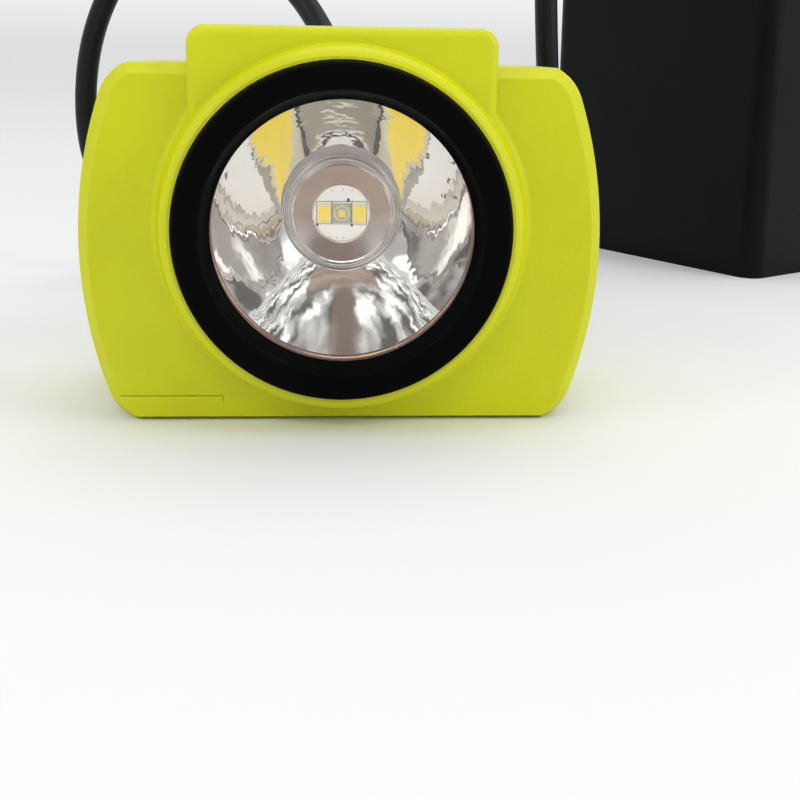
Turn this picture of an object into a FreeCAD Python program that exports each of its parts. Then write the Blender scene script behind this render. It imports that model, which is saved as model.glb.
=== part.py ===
import FreeCAD, Part
import math
import os

from FreeCAD import Placement, Rotation, Vector

# Corded miner's cap lamp: a headpiece that clips on a helmet, its cable, and a belt-worn battery pack.
# Millimetres. +Z is up, the lens looks along -Y, and the origin is on the ground face under the headpiece.

DOC = FreeCAD.newDocument("cap_lamp")
SHEET = DOC.addObject("Spreadsheet::Sheet", "Dims")

DIMS = {
    # headpiece outline, seen from the front
    "half_width": 43.0, "flat_half": 34.6, "corner_x": 38.8, "corner_rise": 4.6, "corner_bulge": 0.6,
    "wing_top": 59.0, "block_half": 24.6, "block_top": 65.0, "block_round": 3.0, "block_foot": 40.0,
    "rear_foot": 45.6,
    # headpiece depths, each a distance in front of (front_*) or behind (rear_*) the origin
    "front_parting": 10.0, "front_face": 15.0, "front_block": 17.6, "front_collar": 22.4,
    "front_bezel": 24.0, "seal_gap": 0.6, "rear_face": 20.0, "rear_block": 21.0,
    "wall": 3.0, "side_bevel": 1.7, "foot_bevel": 0.8, "line_z": 4.2, "line_long": 17.6, "line_wide": 0.3,
    # optics, on the lens axis
    "lens_axis": 33.0, "collar_radius": 29.9, "bezel_bore": 27.0, "bezel_radius": 26.8,
    "aperture": 20.9, "lens_radius": 23.2, "lens_thick": 2.4, "lens_front": 21.0,
    "bowl_mouth": 21.3, "bowl_neck": 9.3, "bowl_front": 17.4, "bowl_back": 1.5, "bowl_wall": 1.1,
    "deck_seat": 0.3, "deck_rim": 9.2, "deck_hole": 5.35, "deck_thick": 1.1, "board_radius": 9.0,
    "board_thick": 1.6,
    "main_led": 3.45, "side_led_wide": 2.7, "side_led_tall": 3.4, "led_thick": 0.7, "led_pitch": 3.3,
    "sink_radius": 19.0, "sink_base": 3.0, "fin_depth": 3.0, "fin_thick": 1.6,
    # push-button on top of the block
    "button_y": 2.0, "button_radius": 5.5, "button_hole": 5.9, "button_top": 64.6,
    "button_flange": 7.2, "flange_bottom": 58.6, "flange_thick": 1.2,
    # cable and gland
    "cord_radius": 2.75, "gland_z": 54.0, "gland_hole": 5.0, "nut_thick": 2.6, "boot_end": 37.0,
    "coil_y": 78.0, "coil_inner": 21.5, "coil_outer": 38.5, "coil_tall": 11.0,
    # helmet clip
    "clip_width": 28.0, "clip_thick": 1.5, "clip_gap": 5.5, "clip_low": 8.0, "clip_bend": 40.0,
    # battery pack, in its own frame: width X, thickness Y, height Z
    "pack_x": 109.0, "pack_y": 151.0, "pack_yaw": -58.0,
    "case_wide": 84.0, "case_deep": 38.0, "case_tall": 101.4, "case_wall": 2.5, "case_round": 5.0,
    "cap_over": 1.2, "cap_tall": 10.0, "cap_top": 112.0,
    "cell_radius": 9.15, "cell_long": 65.0, "cell_pitch": 18.8,
    "loop_wide": 12.0, "loop_low": 44.0, "loop_high": 100.0, "loop_gap": 8.0, "loop_thick": 2.8,
    "loop_x": 20.0, "relief_x": 20.0, "relief_y": 10.0, "relief_lift": 3.8, "relief_rise": 38.0,
    "relief_long": 26.0, "sleeve_long": 18.0, "boss_long": 5.0, "gusset_thick": 6.0,
}

# screws: those of the headpiece seen from the front, the heights of the clip's, and the pack's seen from above
SCREW_PLACES = [(-33, 9), (33, 9), (-33, 50), (33, 50)]
CLIP_SCREWS = [16, 32]
CAP_SCREWS = [(-36.5, -13.5), (36.5, -13.5), (-36.5, 13.5), (36.5, 13.5)]

for row, (alias, value) in enumerate(DIMS.items(), start=1):
    SHEET.set(f"A{row}", alias)
    SHEET.set(f"B{row}", str(value))
    SHEET.setAlias(f"B{row}", alias)
DOC.recompute()

NODES = []
ALONG_Y = Rotation(Vector(1, 0, 0), -90)
UPRIGHT = Rotation()


def dim(alias):
    """The value of one driving dimension, read from the sheet."""
    return float(SHEET.get(alias))


def bind(obj, **formulas):
    """Bind properties of obj to sheet formulas; a double underscore stands for a dot."""
    for prop, formula in formulas.items():
        obj.setExpression(prop.replace("__", "."), formula)
    return obj


def at(obj, x, y, z, turn=UPRIGHT):
    """Turn obj, then bind the three coordinates of its base point."""
    obj.Placement = Placement(Vector(0, 0, 0), turn)
    return bind(obj, Placement__Base__x=x, Placement__Base__y=y, Placement__Base__z=z)


def cylinder(name, radius, length, x, y, z, turn=UPRIGHT):
    solid = DOC.addObject("Part::Cylinder", name)
    bind(solid, Radius=radius, Height=length)
    return at(solid, x, y, z, turn)


def box(name, wide, deep, tall, x, y, z):
    """A box centred on x, with its front face at y and its bottom at z."""
    solid = DOC.addObject("Part::Box", name)
    bind(solid, Length=wide, Width=deep, Height=tall)
    return at(solid, f"{x} - ({wide}) / 2", y, z)


def hexagon(name, radius, length, x, y, z):
    solid = DOC.addObject("Part::Prism", name)
    solid.Polygon = 6
    bind(solid, Circumradius=radius, Height=length)
    return at(solid, x, y, z, ALONG_Y)


def fuse(name, parts):
    joined = DOC.addObject("Part::MultiFuse", name)
    joined.Shapes = parts
    return joined


def group(name, parts):
    together = DOC.addObject("Part::Compound", name)
    together.Links = parts
    return together


def cut(name, base, tools):
    result = DOC.addObject("Part::Cut", name)
    result.Base = base
    result.Tool = tools[0] if len(tools) == 1 else group(name + "_tools", tools)
    return result


def ring(name, outer, inner, length, x, y, z, turn=UPRIGHT):
    rim = cylinder(name + "_rim", outer, length, x, y, z, turn)
    hole = cylinder(name + "_hole", inner, length, x, y, z, turn)
    return cut(name, rim, [hole])


def node(obj, label, pack_side=False):
    """Make obj a sub-part: give it its label and, on the battery pack, the pack's place."""
    obj.Label = label
    if pack_side:
        obj.Placement = Placement(Vector(0, 0, 0), Rotation(Vector(0, 0, 1), dim("pack_yaw")))
        bind(obj, Placement__Base__x="Dims.pack_x", Placement__Base__y="Dims.pack_y")
    NODES.append(obj)
    return obj


# ---------------------------------------------------------------- sketched bodies

def body(name):
    return DOC.addObject("PartDesign::Body", name)


def sketch(owner, name, role, shapes, lift="0", rise="0"):
    """A sketch on the owner's XZ or YZ plane, lifted along its normal and raised in Z."""
    drawing = owner.newObject("Sketcher::SketchObject", name)
    plane = next(f for f in owner.Origin.OriginFeatures if f.Role == role)
    drawing.AttachmentSupport = [(plane, "")]
    drawing.MapMode = "FlatFace"
    bind(drawing, AttachmentOffset__Base__z=lift, AttachmentOffset__Base__y=rise)
    for shape in shapes:
        drawing.addGeometry(shape, False)
    return drawing


def outline(points):
    """Closed outline through (x, y) points. A pair of points stands for an arc: its middle and its end."""
    ends = [p[1] if isinstance(p[0], tuple) else p for p in points]
    shapes = []
    for index, point in enumerate(points):
        start, end = Vector(*ends[index - 1], 0), Vector(*ends[index], 0)
        if isinstance(point[0], tuple):
            shapes.append(Part.Arc(start, Vector(*point[0], 0), end))
        else:
            shapes.append(Part.LineSegment(start, end))
    return shapes


def pad(owner, drawing, length, reverse=False):
    feature = owner.newObject("PartDesign::Pad", drawing.Name + "_pad")
    feature.Profile = drawing
    feature.Reversed = reverse
    bind(feature, Length=length)
    return feature


def pocket(owner, drawing, length, reverse=False):
    feature = owner.newObject("PartDesign::Pocket", drawing.Name + "_pocket")
    feature.Profile = drawing
    feature.Reversed = reverse
    bind(feature, Length=length)
    return feature


def turned(owner, kind, name, profile):
    """A Revolution or a Groove about the lens axis; the profile holds (y, radius) points."""
    drawing = sketch(owner, name, "YZ_Plane", outline(profile), rise="Dims.lens_axis")
    feature = owner.newObject("PartDesign::" + kind, name + "_turn")
    feature.Profile = drawing
    feature.ReferenceAxis = (drawing, ["H_Axis"])
    feature.Angle = 360
    return feature


def round_edges(owner, kind, base, chosen, size):
    """A Fillet or Chamfer on those edges of base for which chosen(edge) holds."""
    DOC.recompute()
    names = [f"Edge{i}" for i, edge in enumerate(base.Shape.Edges, start=1) if chosen(edge)]
    feature = owner.newObject("PartDesign::" + kind, base.Name + "_" + kind.lower())
    feature.Base = (base, names)
    bind(feature, **{"Radius" if kind == "Fillet" else "Size": size})
    return feature


def flat_at(edge, y):
    """True when the whole edge lies in the plane at that y."""
    return edge.BoundBox.YMin > y - 0.01 and edge.BoundBox.YMax < y + 0.01


def wing_outline(inset, foot=None):
    """The headpiece without its top block, drawn in by inset, or by foot at its lower edge."""
    flat = dim("flat_half") - 0.4 * inset
    corner = dim("corner_x") - inset
    side = dim("half_width") - inset
    low, high = inset if foot is None else foot, dim("wing_top") - inset
    rise = dim("corner_rise") - 0.2 * inset
    middle = (low + high) / 2
    bulge = dim("corner_bulge") * math.sqrt(0.5)
    turn_x = (flat + corner) / 2 + bulge
    turn_low, turn_high = low + rise / 2 - bulge, high - rise / 2 + bulge
    return [
        ((-turn_x, turn_low), (-flat, low)), (flat, low), ((turn_x, turn_low), (corner, low + rise)),
        ((side, middle), (corner, high - rise)), ((turn_x, turn_high), (flat, high)), (-flat, high),
        ((-turn_x, turn_high), (-corner, high - rise)), ((-side, middle), (-corner, low + rise)),
    ]


def block_outline(inset, foot):
    """The top block with its two rounded upper corners, from z = foot up."""
    half, top = dim("block_half") - inset, dim("block_top") - inset
    bend = dim("block_round")
    corner = bend * (1 - math.cos(math.pi / 4))
    return [
        (-half, foot), (half, foot), (half, top - bend),
        ((half - corner, top - corner), (half - bend, top)), (-half + bend, top),
        ((-half + corner, top - corner), (-half, top - bend)),
    ]


def whole_outline(inset):
    """Wings and block together, for the seal between the two shells."""
    wings = wing_outline(inset)
    block = block_outline(inset, dim("wing_top") - inset)
    return wings[:5] + block[1:] + [block[0]] + wings[5:]


# ---------------------------------------------------------------- headpiece shells

def front_housing():
    shell = body("front_shell")
    wings = sketch(shell, "front_wings", "XZ_Plane", outline(wing_outline(0)), lift="Dims.front_parting")
    pad(shell, wings, "Dims.front_face - Dims.side_bevel - Dims.front_parting")
    bevel_back = sketch(shell, "bevel_back", "XZ_Plane", outline(wing_outline(0)),
                        lift="Dims.front_face - Dims.side_bevel")
    bevel_front = sketch(shell, "bevel_front", "XZ_Plane",
                         outline(wing_outline(dim("side_bevel"), dim("foot_bevel"))), lift="Dims.front_face")
    bevel = shell.newObject("PartDesign::AdditiveLoft", "wing_bevel")
    bevel.Profile = bevel_back
    bevel.Sections = [bevel_front]
    bevel.Ruled = True
    block = sketch(shell, "front_top", "XZ_Plane", outline(block_outline(0, dim("block_foot"))),
                   lift="Dims.front_parting")
    tower = pad(shell, block, "Dims.front_block - Dims.front_parting")
    front = -dim("front_block")
    rim = round_edges(shell, "Fillet", tower,
                      lambda e: flat_at(e, front) and e.BoundBox.ZMin > dim("wing_top"), "1.6")
    shell.Tip = rim
    radius, bore = dim("collar_radius"), dim("bezel_bore")
    root, crest = -dim("front_face"), -dim("front_collar")
    turned(shell, "Revolution", "collar", [
        (root + 2, bore - 3), (crest + 1.2, bore - 3), (crest, bore - 1.4), (crest, bore + 0.5),
        ((crest + 0.75, bore + 1.55), (crest + 2.4, bore + 2.05)), (root - 1.4, radius),
        ((root - 0.5, radius + 0.35), (root, radius + 1.2)), (root + 2, radius + 1.2),
    ])
    turned(shell, "Groove", "bezel_seat", [
        (-dim("front_bezel") - 2, 0), (-dim("front_bezel") - 2, bore), (-16.2, bore),
        (-16.2, dim("lens_radius") + 0.3), (-dim("front_parting") + 1, dim("lens_radius") + 0.3),
        (-dim("front_parting") + 1, 0),
    ])
    for side in (-1, 1):
        hollow = sketch(shell, f"wing_hollow_{side + 1}", "XZ_Plane", outline([
            (side * 32, 15), (side * 37.5, 15), ((side * 40, 29.5), (side * 37.5, 44)), (side * 32, 44),
        ]), lift="Dims.front_parting")
        pocket(shell, hollow, "2.6", reverse=True)
    pilots = [cylinder(f"pilot_{i}", "1.5", "4.2", str(x), "-Dims.front_parting - 4", str(z), ALONG_Y)
              for i, (x, z) in enumerate(SCREW_PLACES)]
    line_middle, line_front = "-Dims.line_long / 2 - 19.6", "-Dims.front_face - 0.1"
    line = box("step_line", "Dims.line_long", "0.1 + Dims.line_wide", "Dims.line_wide", line_middle, line_front,
               "Dims.line_z")
    hook = box("step_hook", "Dims.line_wide", "0.1 + Dims.line_wide", "0.8", "-19.75", line_front,
               "Dims.line_z - 0.7")
    node(cut("front_drilled", shell, pilots + [fuse("step_mark", [line, hook])]), "front_housing")


def rear_housing():
    shell = body("rear_shell")
    lift = "Dims.front_parting - Dims.seal_gap"
    wings = sketch(shell, "rear_wings", "XZ_Plane", outline(wing_outline(0)), lift=lift)
    tub = pad(shell, wings, "Dims.rear_face + Dims.front_parting - Dims.seal_gap", True)
    back = dim("rear_face")
    edges = round_edges(shell, "Fillet", tub, lambda e: flat_at(e, back), "1.8")
    shell.Tip = edges
    block = sketch(shell, "rear_top", "XZ_Plane", outline(block_outline(0.15, dim("rear_foot"))), lift=lift)
    tower = pad(shell, block, "Dims.rear_block + Dims.front_parting - Dims.seal_gap", True)
    face = dim("rear_block")
    rim = round_edges(shell, "Fillet", tower, lambda e: flat_at(e, face) and e.BoundBox.ZMin > 61, "2")
    shell.Tip = rim
    hollow = sketch(shell, "rear_hollow", "XZ_Plane", outline(wing_outline(dim("wall"))), lift=lift)
    pocket(shell, hollow, "Dims.rear_face + Dims.front_parting - Dims.seal_gap - Dims.wall")
    loft = sketch(shell, "block_hollow", "XZ_Plane", outline(block_outline(dim("wall"), 46.6)), lift=lift)
    pocket(shell, loft, "Dims.rear_block + Dims.front_parting - Dims.seal_gap - Dims.wall")
    posts = [cylinder(f"post_{i}", "3.6", "Dims.rear_face + 7", str(x), "-9.4", str(z), ALONG_Y)
             for i, (x, z) in enumerate(SCREW_PLACES)]
    holes = []
    for i, (x, z) in enumerate(SCREW_PLACES):
        holes.append(cylinder(f"screw_way_{i}", "1.6", "40", str(x), "-15", str(z), ALONG_Y))
        holes.append(cylinder(f"screw_sink_{i}", "3", "6", str(x), "Dims.rear_face - 2.2", str(z), ALONG_Y))
    holes.append(cylinder("gland_way", "Dims.gland_hole", "14", "0", "10", "Dims.gland_z", ALONG_Y))
    holes.append(cylinder("button_way", "Dims.button_hole", "10", "0", "Dims.button_y", "58"))
    for i, z in enumerate(CLIP_SCREWS):
        holes.append(cylinder(f"clip_way_{i}", "1.5", "10", "0", "12", str(z), ALONG_Y))
    for side in (-1, 1):
        holes.append(cylinder(f"contact_way_{side + 1}", "2.5", "10", str(side * 24), "12", "18", ALONG_Y))
    node(cut("rear_drilled", fuse("rear_posts", [shell] + posts), holes), "rear_housing")


def housing_seal():
    seal = body("seal_body")
    rim = sketch(seal, "seal_rim", "XZ_Plane", outline(whole_outline(0.3)) + outline(whole_outline(2.2)),
                 lift="Dims.front_parting - Dims.seal_gap")
    pad(seal, rim, "Dims.seal_gap")
    node(seal, "housing_seal")


def housing_screws():
    screws = []
    for i, (x, z) in enumerate(SCREW_PLACES):
        shank = cylinder(f"screw_shank_{i}", "1.45", "31.2", str(x), "-13.4", str(z), ALONG_Y)
        head = cylinder(f"screw_head_{i}", "2.75", "1.8", str(x), "Dims.rear_face - 2.2", str(z), ALONG_Y)
        drive = cylinder(f"screw_drive_{i}", "1.1", "1.2", str(x), "Dims.rear_face - 1.4", str(z), ALONG_Y)
        screws.append(cut(f"screw_{i}", fuse(f"screw_blank_{i}", [shank, head]), [drive]))
    node(group("screw_set", screws), "housing_screws")


# ---------------------------------------------------------------- optics

def bezel_ring():
    bezel = body("bezel_body")
    front, rim, hole = -dim("front_bezel"), dim("bezel_radius"), dim("aperture")
    seat = -dim("lens_front")
    turned(bezel, "Revolution", "bezel", [
        (-16.4, rim), (front + 0.7, rim), ((front + 0.2, rim - 0.2), (front, rim - 0.7)),
        (front, hole + 1.9), (front + 0.35, hole + 1.5), (front + 0.9, hole + 1.35), (seat - 0.7, hole + 0.4),
        (seat - 0.5, hole), (seat, hole), (seat, dim("lens_radius") + 0.1), (-16.4, dim("lens_radius") + 0.1),
    ])
    node(bezel, "bezel_ring")


def bowl_radius(y):
    """Inner radius of the parabolic reflector at depth y."""
    mouth, neck = dim("bowl_mouth"), dim("bowl_neck")
    front, back = -dim("bowl_front"), dim("bowl_back")
    share = (back - y) / (back - front)
    return math.sqrt(neck ** 2 + share * (mouth ** 2 - neck ** 2))


def reflector():
    """Parabola turned about the lens axis, with a thin wall and a flange at its mouth."""
    front, back, wall = -dim("bowl_front"), dim("bowl_back"), dim("bowl_wall")
    steps = 16
    depths = [front + (back - front) * i / steps for i in range(steps + 1)]
    inner, outer = Part.BSplineCurve(), Part.BSplineCurve()
    inner.interpolate([Vector(0, y, bowl_radius(y)) for y in depths])
    outer.interpolate([Vector(0, y, bowl_radius(y) + wall) for y in depths])
    flange = dim("lens_radius") - 0.1
    lip = front + 1.2
    neck, mouth = bowl_radius(back), bowl_radius(front)
    bowl = Part.Wire([
        Part.LineSegment(Vector(0, back, neck + wall), Vector(0, back, neck)).toShape(), inner.toShape(),
        Part.LineSegment(Vector(0, front, mouth), Vector(0, front, mouth + wall)).toShape(), outer.toShape(),
    ])
    shell = Part.Face(bowl).revolve(Vector(0, 0, 0), Vector(0, 1, 0), 360)
    rim = Part.makeCylinder(flange, lip - front, Vector(0, front, 0), Vector(0, 1, 0)).cut(
        Part.makeCylinder(mouth + wall / 2, lip - front, Vector(0, front, 0), Vector(0, 1, 0)))
    solid = DOC.addObject("Part::Feature", "reflector_bowl")
    solid.Shape = shell.fuse(rim).removeSplitter()
    bind(solid, Placement__Base__z="Dims.lens_axis")
    node(solid, "reflector")


def optics():
    bezel_ring()
    node(group("lens_disc", [cylinder("lens_plate", "Dims.lens_radius", "Dims.lens_thick", "0",
                                      "-Dims.lens_front", "Dims.lens_axis", ALONG_Y)]), "lens")
    seal_start = "-Dims.lens_front + Dims.lens_thick"
    node(ring("lens_gasket", "Dims.lens_radius", "Dims.lens_radius - 1.3",
              "Dims.lens_front - Dims.lens_thick - Dims.bowl_front", "0", seal_start, "Dims.lens_axis",
              ALONG_Y), "lens_seal")
    reflector()
    node(ring("deck", "Dims.deck_rim", "Dims.deck_hole", "Dims.deck_thick", "0", "Dims.deck_seat",
              "Dims.lens_axis", ALONG_Y), "led_collar")
    board = "Dims.deck_seat + Dims.deck_thick"
    node(group("board_disc", [cylinder("board_plate", "Dims.board_radius", "Dims.board_thick", "0", board,
                                       "Dims.lens_axis", ALONG_Y)]), "led_board")
    led_front = board + " - Dims.led_thick"
    middle = "Dims.lens_axis - Dims.main_led / 2"
    package = box("main_package", "Dims.main_led", "Dims.led_thick", "Dims.main_led", "0", led_front, middle)
    dome = DOC.addObject("Part::Sphere", "main_dome")
    dome.Angle1 = 0
    bind(dome, Radius="1.3")
    at(dome, "0", led_front, "Dims.lens_axis", Rotation(Vector(1, 0, 0), 90))
    node(fuse("main_pair", [package, dome]), "main_led")
    sides = [box(f"side_package_{side + 1}", "Dims.side_led_wide", "Dims.led_thick", "Dims.side_led_tall",
                 f"{side} * Dims.led_pitch", led_front, "Dims.lens_axis - Dims.side_led_tall / 2")
             for side in (-1, 1)]
    node(group("side_pair", sides), "side_leds")
    sink_front = board + " + Dims.board_thick"
    plate = cylinder("sink_plate", "Dims.sink_radius", "Dims.sink_base", "0", sink_front, "Dims.lens_axis",
                     ALONG_Y)
    fins = [box(f"sink_fin_{i}", "Dims.fin_thick", "Dims.fin_depth", "24", f"{6 * i}",
                sink_front + " + Dims.sink_base", "Dims.lens_axis - 12") for i in range(-2, 3)]
    node(fuse("sink", [plate] + fins), "heat_sink")


def electronics():
    node(group("driver", [box("driver_plate", "44", "1.4", "28", "0", "15.6", "19")]), "driver_board")
    parts = [
        box("inductor", "6", "3", "6", "-8", "12.6", "30"),
        box("controller", "5", "1.2", "5", "4", "14.4", "31"),
        cylinder("capacitor", "2.2", "5", "15", "13.3", "24"),
    ]
    node(group("driver_set", parts), "driver_parts")


# ---------------------------------------------------------------- push-button

def button():
    top, flange = "Dims.button_top", "Dims.flange_bottom"
    cap = cylinder("button_cap", "Dims.button_radius", f"{top} - {flange}", "0", "Dims.button_y", flange)
    rim = cylinder("button_rim", "Dims.button_flange", "Dims.flange_thick", "0", "Dims.button_y", flange)
    node(fuse("button_whole", [cap, rim]), "power_button")
    node(ring("boot_ring", "8.6", "Dims.button_hole + 0.1", "1.2", "0", "Dims.button_y",
              "Dims.block_top - 0.15 - Dims.wall - 1.05"), "button_boot")
    coil = Part.makeHelix(1.05, 4.2, 4.5)
    wire = Part.Wire(Part.makeCircle(0.28, Vector(4.5, 0, 0), Vector(0, 1, 0)))
    spring = DOC.addObject("Part::Feature", "spring_wire")
    spring.Shape = Part.Wire(coil).makePipeShell([wire], True, True)
    at(spring, "0", "Dims.button_y", "53.95")
    node(spring, "button_spring")
    switch = box("switch_case", "5.2", "5.2", "2.6", "0", "Dims.button_y - 2.6", "53.6")
    nub = cylinder("switch_nub", "1.4", "0.7", "0", "Dims.button_y", "56.2")
    node(fuse("switch_whole", [switch, nub]), "tact_switch")
    node(group("switch_plate", [box("switch_card", "30", "12", "1", "0", "Dims.button_y - 6", "52.6")]),
         "switch_board")


# ---------------------------------------------------------------- rear fittings

def helmet_clip():
    """A bent steel strip, open downwards, that hooks over a helmet's lamp bracket."""
    back, gap, thick = dim("rear_face"), dim("clip_gap"), dim("clip_thick")
    low, bend = dim("clip_low"), dim("clip_bend")
    far, middle = back + gap + 2 * thick, back + thick + gap / 2
    clip = body("clip_body")
    drawing = sketch(clip, "clip_strip", "YZ_Plane", outline([
        (back, low), (back + thick, low), (back + thick, bend),
        ((middle, bend + gap / 2), (far - thick, bend)), (far - thick, low + 3), (far + 0.8, low - 1),
        (far + 2.2, low), (far, low + 4), (far, bend), ((middle, bend + gap / 2 + thick), (back, bend)),
    ]))
    strip = pad(clip, drawing, "Dims.clip_width")
    strip.Midplane = True
    holes = [cylinder(f"clip_hole_{i}", "1.5", "6", "0", "18", str(z), ALONG_Y)
             for i, z in enumerate(CLIP_SCREWS)]
    node(cut("clip_drilled", clip, holes), "helmet_clip")
    screws = []
    for i, z in enumerate(CLIP_SCREWS):
        shank = cylinder(f"clip_shank_{i}", "1.45", "4.7", "0", "Dims.rear_face - Dims.wall", str(z), ALONG_Y)
        head = cylinder(f"clip_head_{i}", "2.9", "0.9", "0", "Dims.rear_face + Dims.clip_thick", str(z),
                        ALONG_Y)
        screws.append(fuse(f"clip_screw_{i}", [shank, head]))
    node(group("clip_screw_set", screws), "clip_screws")


def gland():
    height = "Dims.gland_z"
    flange = hexagon("gland_flange", "7.6", "4.5", "0", "Dims.rear_block", height)
    thread = cylinder("gland_thread", "Dims.gland_hole", "6", "0", "Dims.rear_block - 6", height, ALONG_Y)
    crown = cylinder("gland_crown", "5.8", "2.4", "0", "Dims.rear_block + 4.5", height, ALONG_Y)
    node(fuse("gland_whole", [flange, thread, crown]), "cable_gland")
    nut_front = "Dims.rear_block - Dims.wall - Dims.nut_thick"
    nut = hexagon("nut_blank", "7.2", "Dims.nut_thick", "0", nut_front, height)
    bore = cylinder("nut_bore", "Dims.gland_hole", "Dims.nut_thick", "0", nut_front, height, ALONG_Y)
    node(cut("nut_whole", nut, [bore]), "gland_nut")
    boot = DOC.addObject("Part::Cone", "boot_cone")
    bind(boot, Radius1="4.8", Radius2="3.5", Height="Dims.boot_end - Dims.rear_block - 6.9")
    at(boot, "0", "Dims.rear_block + 6.9", height, ALONG_Y)
    node(group("boot_whole", [boot]), "cable_boot")


def charging_contacts():
    pins = [cylinder(f"contact_{side + 1}", "2.5", "3.6", f"{side * 24}", "Dims.rear_face - Dims.wall", "18",
                     ALONG_Y) for side in (-1, 1)]
    node(group("contact_pair", pins), "charging_contacts")


# ---------------------------------------------------------------- battery pack, in its own frame

def rounded_box(name, wide, deep, tall, radius, z):
    """A box centred on the pack's axis with rounded vertical edges."""
    blank = box(name + "_blank", wide, deep, tall, "0", f"-({deep}) / 2", z)
    DOC.recompute()
    uprights = [i for i, edge in enumerate(blank.Shape.Edges, start=1) if edge.BoundBox.ZLength > 0.1
                and edge.BoundBox.XLength < 0.1 and edge.BoundBox.YLength < 0.1]
    result = DOC.addObject("Part::Fillet", name)
    result.Base = blank
    result.Edges = [(i, radius, radius) for i in uprights]
    return result


def slanted(name, radius_low, radius_high, start, length):
    """A cone along the relief's rising axis, from start to start + length."""
    rise = math.radians(dim("relief_rise"))
    axis = Vector(0, -math.cos(rise), math.sin(rise))
    foot = Vector(dim("relief_x"), dim("relief_y"), dim("cap_top") + dim("relief_lift"))
    solid = DOC.addObject("Part::Cone", name)
    solid.Radius1, solid.Radius2, solid.Height = radius_low, radius_high, length
    solid.Placement = Placement(foot + axis * start, Rotation(Vector(0, 0, 1), axis))
    return solid


def pack_shell():
    wall = dim("case_wall")
    tall = "Dims.case_tall"
    outer = rounded_box("case_outer", "Dims.case_wide", "Dims.case_deep", tall, dim("case_round"), "0")
    inner = rounded_box("case_inner", "Dims.case_wide - 2 * Dims.case_wall",
                        "Dims.case_deep - 2 * Dims.case_wall", tall, dim("case_round") - wall, "Dims.case_wall")
    posts = [cylinder(f"case_post_{i}", "3.4", "17", f"{x}", f"{y}", "Dims.case_tall - 17")
             for i, (x, y) in enumerate(CAP_SCREWS)]
    holes = [cylinder(f"case_pilot_{i}", "1.45", "14", f"{x}", f"{y}", "Dims.case_tall - 13")
             for i, (x, y) in enumerate(CAP_SCREWS)]
    walls = cut("case_hollow", outer, [inner])
    node(cut("case_whole", fuse("case_with_posts", [walls] + posts), holes), "pack_case", True)
    rim_outer = rounded_box("pack_rim_outer", "Dims.case_wide - 0.6", "Dims.case_deep - 0.6", "0.6",
                            dim("case_round") - 0.3, tall)
    rim_inner = rounded_box("pack_rim_inner", "Dims.case_wide - 4", "Dims.case_deep - 4", "0.6",
                            dim("case_round") - 2, tall)
    ways = [cylinder(f"rim_way_{i}", "1.6", "2", f"{x}", f"{y}", "Dims.case_tall - 0.5")
            for i, (x, y) in enumerate(CAP_SCREWS)]
    node(cut("pack_rim", rim_outer, [rim_inner] + ways), "pack_seal", True)


def pack_cap():
    base = "Dims.cap_top - Dims.cap_tall"
    blank = rounded_box("cap_blank", "Dims.case_wide + 2 * Dims.cap_over", "Dims.case_deep + 2 * Dims.cap_over",
                        "Dims.cap_tall", dim("case_round") + 1, base)
    DOC.recompute()
    top = dim("cap_top")
    crest = [i for i, edge in enumerate(blank.Shape.Edges, start=1) if edge.BoundBox.ZMin > top - 0.01]
    lid = DOC.addObject("Part::Chamfer", "cap_lid")
    lid.Base = blank
    lid.Edges = [(i, 1.2, 1.2) for i in crest]
    under = rounded_box("cap_under", "Dims.case_wide - 14", "Dims.case_deep - 8", "Dims.cap_tall - 3", 3, base)
    gusset = body("cap_gusset")
    web = sketch(gusset, "gusset_web", "YZ_Plane", outline([
        (-18, top - 0.5), (2, top - 0.5), (1.2, top + 0.3), (-2, top + 3.1), (-10.5, top + 10.5),
    ]))
    plate = pad(gusset, web, "Dims.gusset_thick")
    plate.Midplane = True
    bind(gusset, Placement__Base__x="Dims.relief_x")
    boss = slanted("cap_boss", 9.5, 8, -9, dim("boss_long") + 9)
    below = box("boss_trim", "60", "60", "30", "Dims.relief_x", "-20", "Dims.case_tall - 26.4")
    trimmed = cut("cap_boss_trimmed", boss, [below])
    holes = [cylinder(f"cap_way_{i}", "1.6", "20", f"{x}", f"{y}", "Dims.case_tall - 2")
             for i, (x, y) in enumerate(CAP_SCREWS)]
    whole = fuse("cap_solid", [cut("cap_hollow", lid, [under]), gusset, trimmed])
    node(cut("cap_whole", whole, holes), "pack_cap", True)
    screws = []
    for i, (x, y) in enumerate(CAP_SCREWS):
        shank = cylinder(f"cap_shank_{i}", "1.4", "20", f"{x}", f"{y}", "Dims.cap_top - 20")
        head = cylinder(f"cap_head_{i}", "2.6", "1.4", f"{x}", f"{y}", "Dims.cap_top")
        drive = cylinder(f"cap_drive_{i}", "1", "1", f"{x}", f"{y}", "Dims.cap_top + 0.6")
        screws.append(cut(f"cap_screw_{i}", fuse(f"cap_screw_blank_{i}", [shank, head]), [drive]))
    node(group("cap_screw_set", screws), "pack_screws", True)


def strain_relief():
    start = dim("boss_long")
    core = slanted("relief_core", 6, 4.6, start, dim("relief_long"))
    ribs = [slanted(f"relief_rib_{i}", 7.8 - 0.5 * i, 7.5 - 0.5 * i, start + 2.2 + 5.6 * i, 3)
            for i in range(4)]
    node(fuse("relief_whole", [core] + ribs), "strain_relief", True)
    sleeve = slanted("sleeve_cone", 5, 4.4, start + dim("relief_long"), dim("sleeve_long"))
    node(group("sleeve_whole", [sleeve]), "cable_sleeve", True)


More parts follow.
